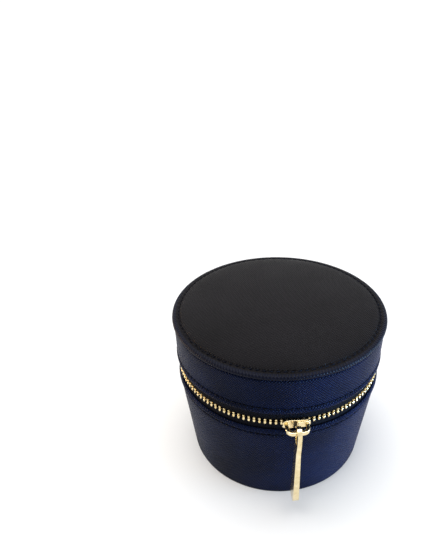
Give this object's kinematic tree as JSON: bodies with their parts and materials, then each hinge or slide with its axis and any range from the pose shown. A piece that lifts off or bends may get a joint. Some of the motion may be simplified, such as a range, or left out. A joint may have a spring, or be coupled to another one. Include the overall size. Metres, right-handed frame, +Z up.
{
  "type": "zip-around jewellery case",
  "caption": "Round zip-around jewellery case in leather over board, with a hinged padded lid, a velvet tray with a divider, and a metal zip with a long bar pull.",
  "frame": {"origin": "centre of the flat leather foot, on the table", "axes": "+Z up along the case's axis, -Y to the front, +Y to the leather hinge, +X to the right as seen from the front"},
  "size_m": [0.1064, 0.1099, 0.0874],
  "materials": {
    "navy_leather": "cross-grain, semi-gloss",
    "board": "matte grey board",
    "zip_tape": "woven tape",
    "gilt_brass": "polished pale gold",
    "velvet": "short pile",
    "foam": "soft foam, out of sight"
  },
  "bodies": {
    "base": {"base_bottom_leather": "navy_leather", "base_foot_board": "board", "base_wall_board": "board", "base_leather": "navy_leather", "base_zip_tape": "zip_tape", "base_zip_teeth": "gilt_brass", "base_zip_stops": "gilt_brass", "hinge_strip": "navy_leather", "tray_velvet": "velvet", "tray_card": "board", "tray_floor_pad": "velvet", "divider_velvet": "velvet", "divider_card": "board"},
    "lid": {"lid_leather": "navy_leather", "lid_band_board": "board", "lid_top_board": "board", "lid_foam": "foam", "lid_top_leather": "navy_leather", "lid_ceiling_pad": "velvet", "lid_wall_lining": "velvet", "lid_zip_tape": "zip_tape", "lid_zip_teeth": "gilt_brass", "lid_zip_stops": "gilt_brass"},
    "slider": {"slider_body": "gilt_brass", "slider_bridge": "gilt_brass"},
    "pull": {"pull_bar": "gilt_brass"}
  },
  "joints": [
    {"name": "lid_hinge", "type": "hinge", "parent": "base", "child": "lid", "pos_m": [0, 0.0485, 0.0589], "axis": [-1, 0, 0], "range_deg": [0, 95], "deforming": ["hinge_strip"]},
    {"name": "zip_travel", "type": "hinge", "parent": "base", "child": "slider", "pos_m": [0, 0, 0.0569], "axis": [0, 0, 1], "range_deg": [-165, 115]},
    {"name": "pull_swing", "type": "hinge", "parent": "slider", "child": "pull", "pos_m": [0.02483, -0.05325, 0.0569], "axis": [-0.9063, -0.4226, 0], "range_deg": [-6, 105]}
  ]
}
